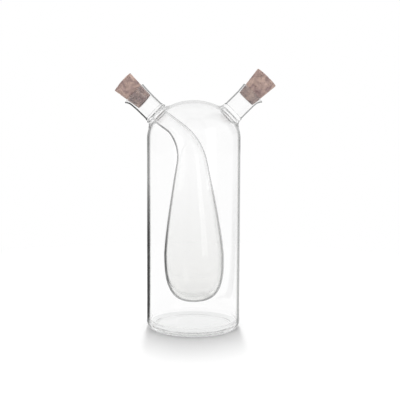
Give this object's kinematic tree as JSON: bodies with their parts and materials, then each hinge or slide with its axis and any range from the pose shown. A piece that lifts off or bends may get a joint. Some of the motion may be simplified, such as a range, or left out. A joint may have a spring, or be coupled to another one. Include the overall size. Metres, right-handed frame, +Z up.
{
  "type": "oil and vinegar bottle",
  "caption": "Domed glass cylinder with a drop-shaped flask inside it, two slanted necks with pouring lips, and a tapered cork in each neck.",
  "frame": {"origin": "centre of the flat base, on the table", "axes": "+Z up along the body's axis, +X towards the oil neck, -X towards the vinegar neck"},
  "size_m": [0.1111, 0.065, 0.181],
  "materials": {
    "borosilicate_glass": "gloss",
    "natural_cork": "matte"
  },
  "bodies": {
    "glass": {"outer_body": "borosilicate_glass", "inner_flask": "borosilicate_glass", "oil_neck": "borosilicate_glass", "vinegar_neck": "borosilicate_glass"},
    "oil_cork": {"oil_cork": "natural_cork"},
    "vinegar_cork": {"vinegar_cork": "natural_cork"}
  },
  "joints": [
    {"name": "oil_cork_pull", "type": "slide", "parent": "glass", "child": "oil_cork", "axis": [0.6947, 0, 0.7193], "range_m": [0, 0.03]},
    {"name": "vinegar_cork_pull", "type": "slide", "parent": "glass", "child": "vinegar_cork", "axis": [-0.749, 0, 0.6626], "range_m": [0, 0.03]}
  ]
}
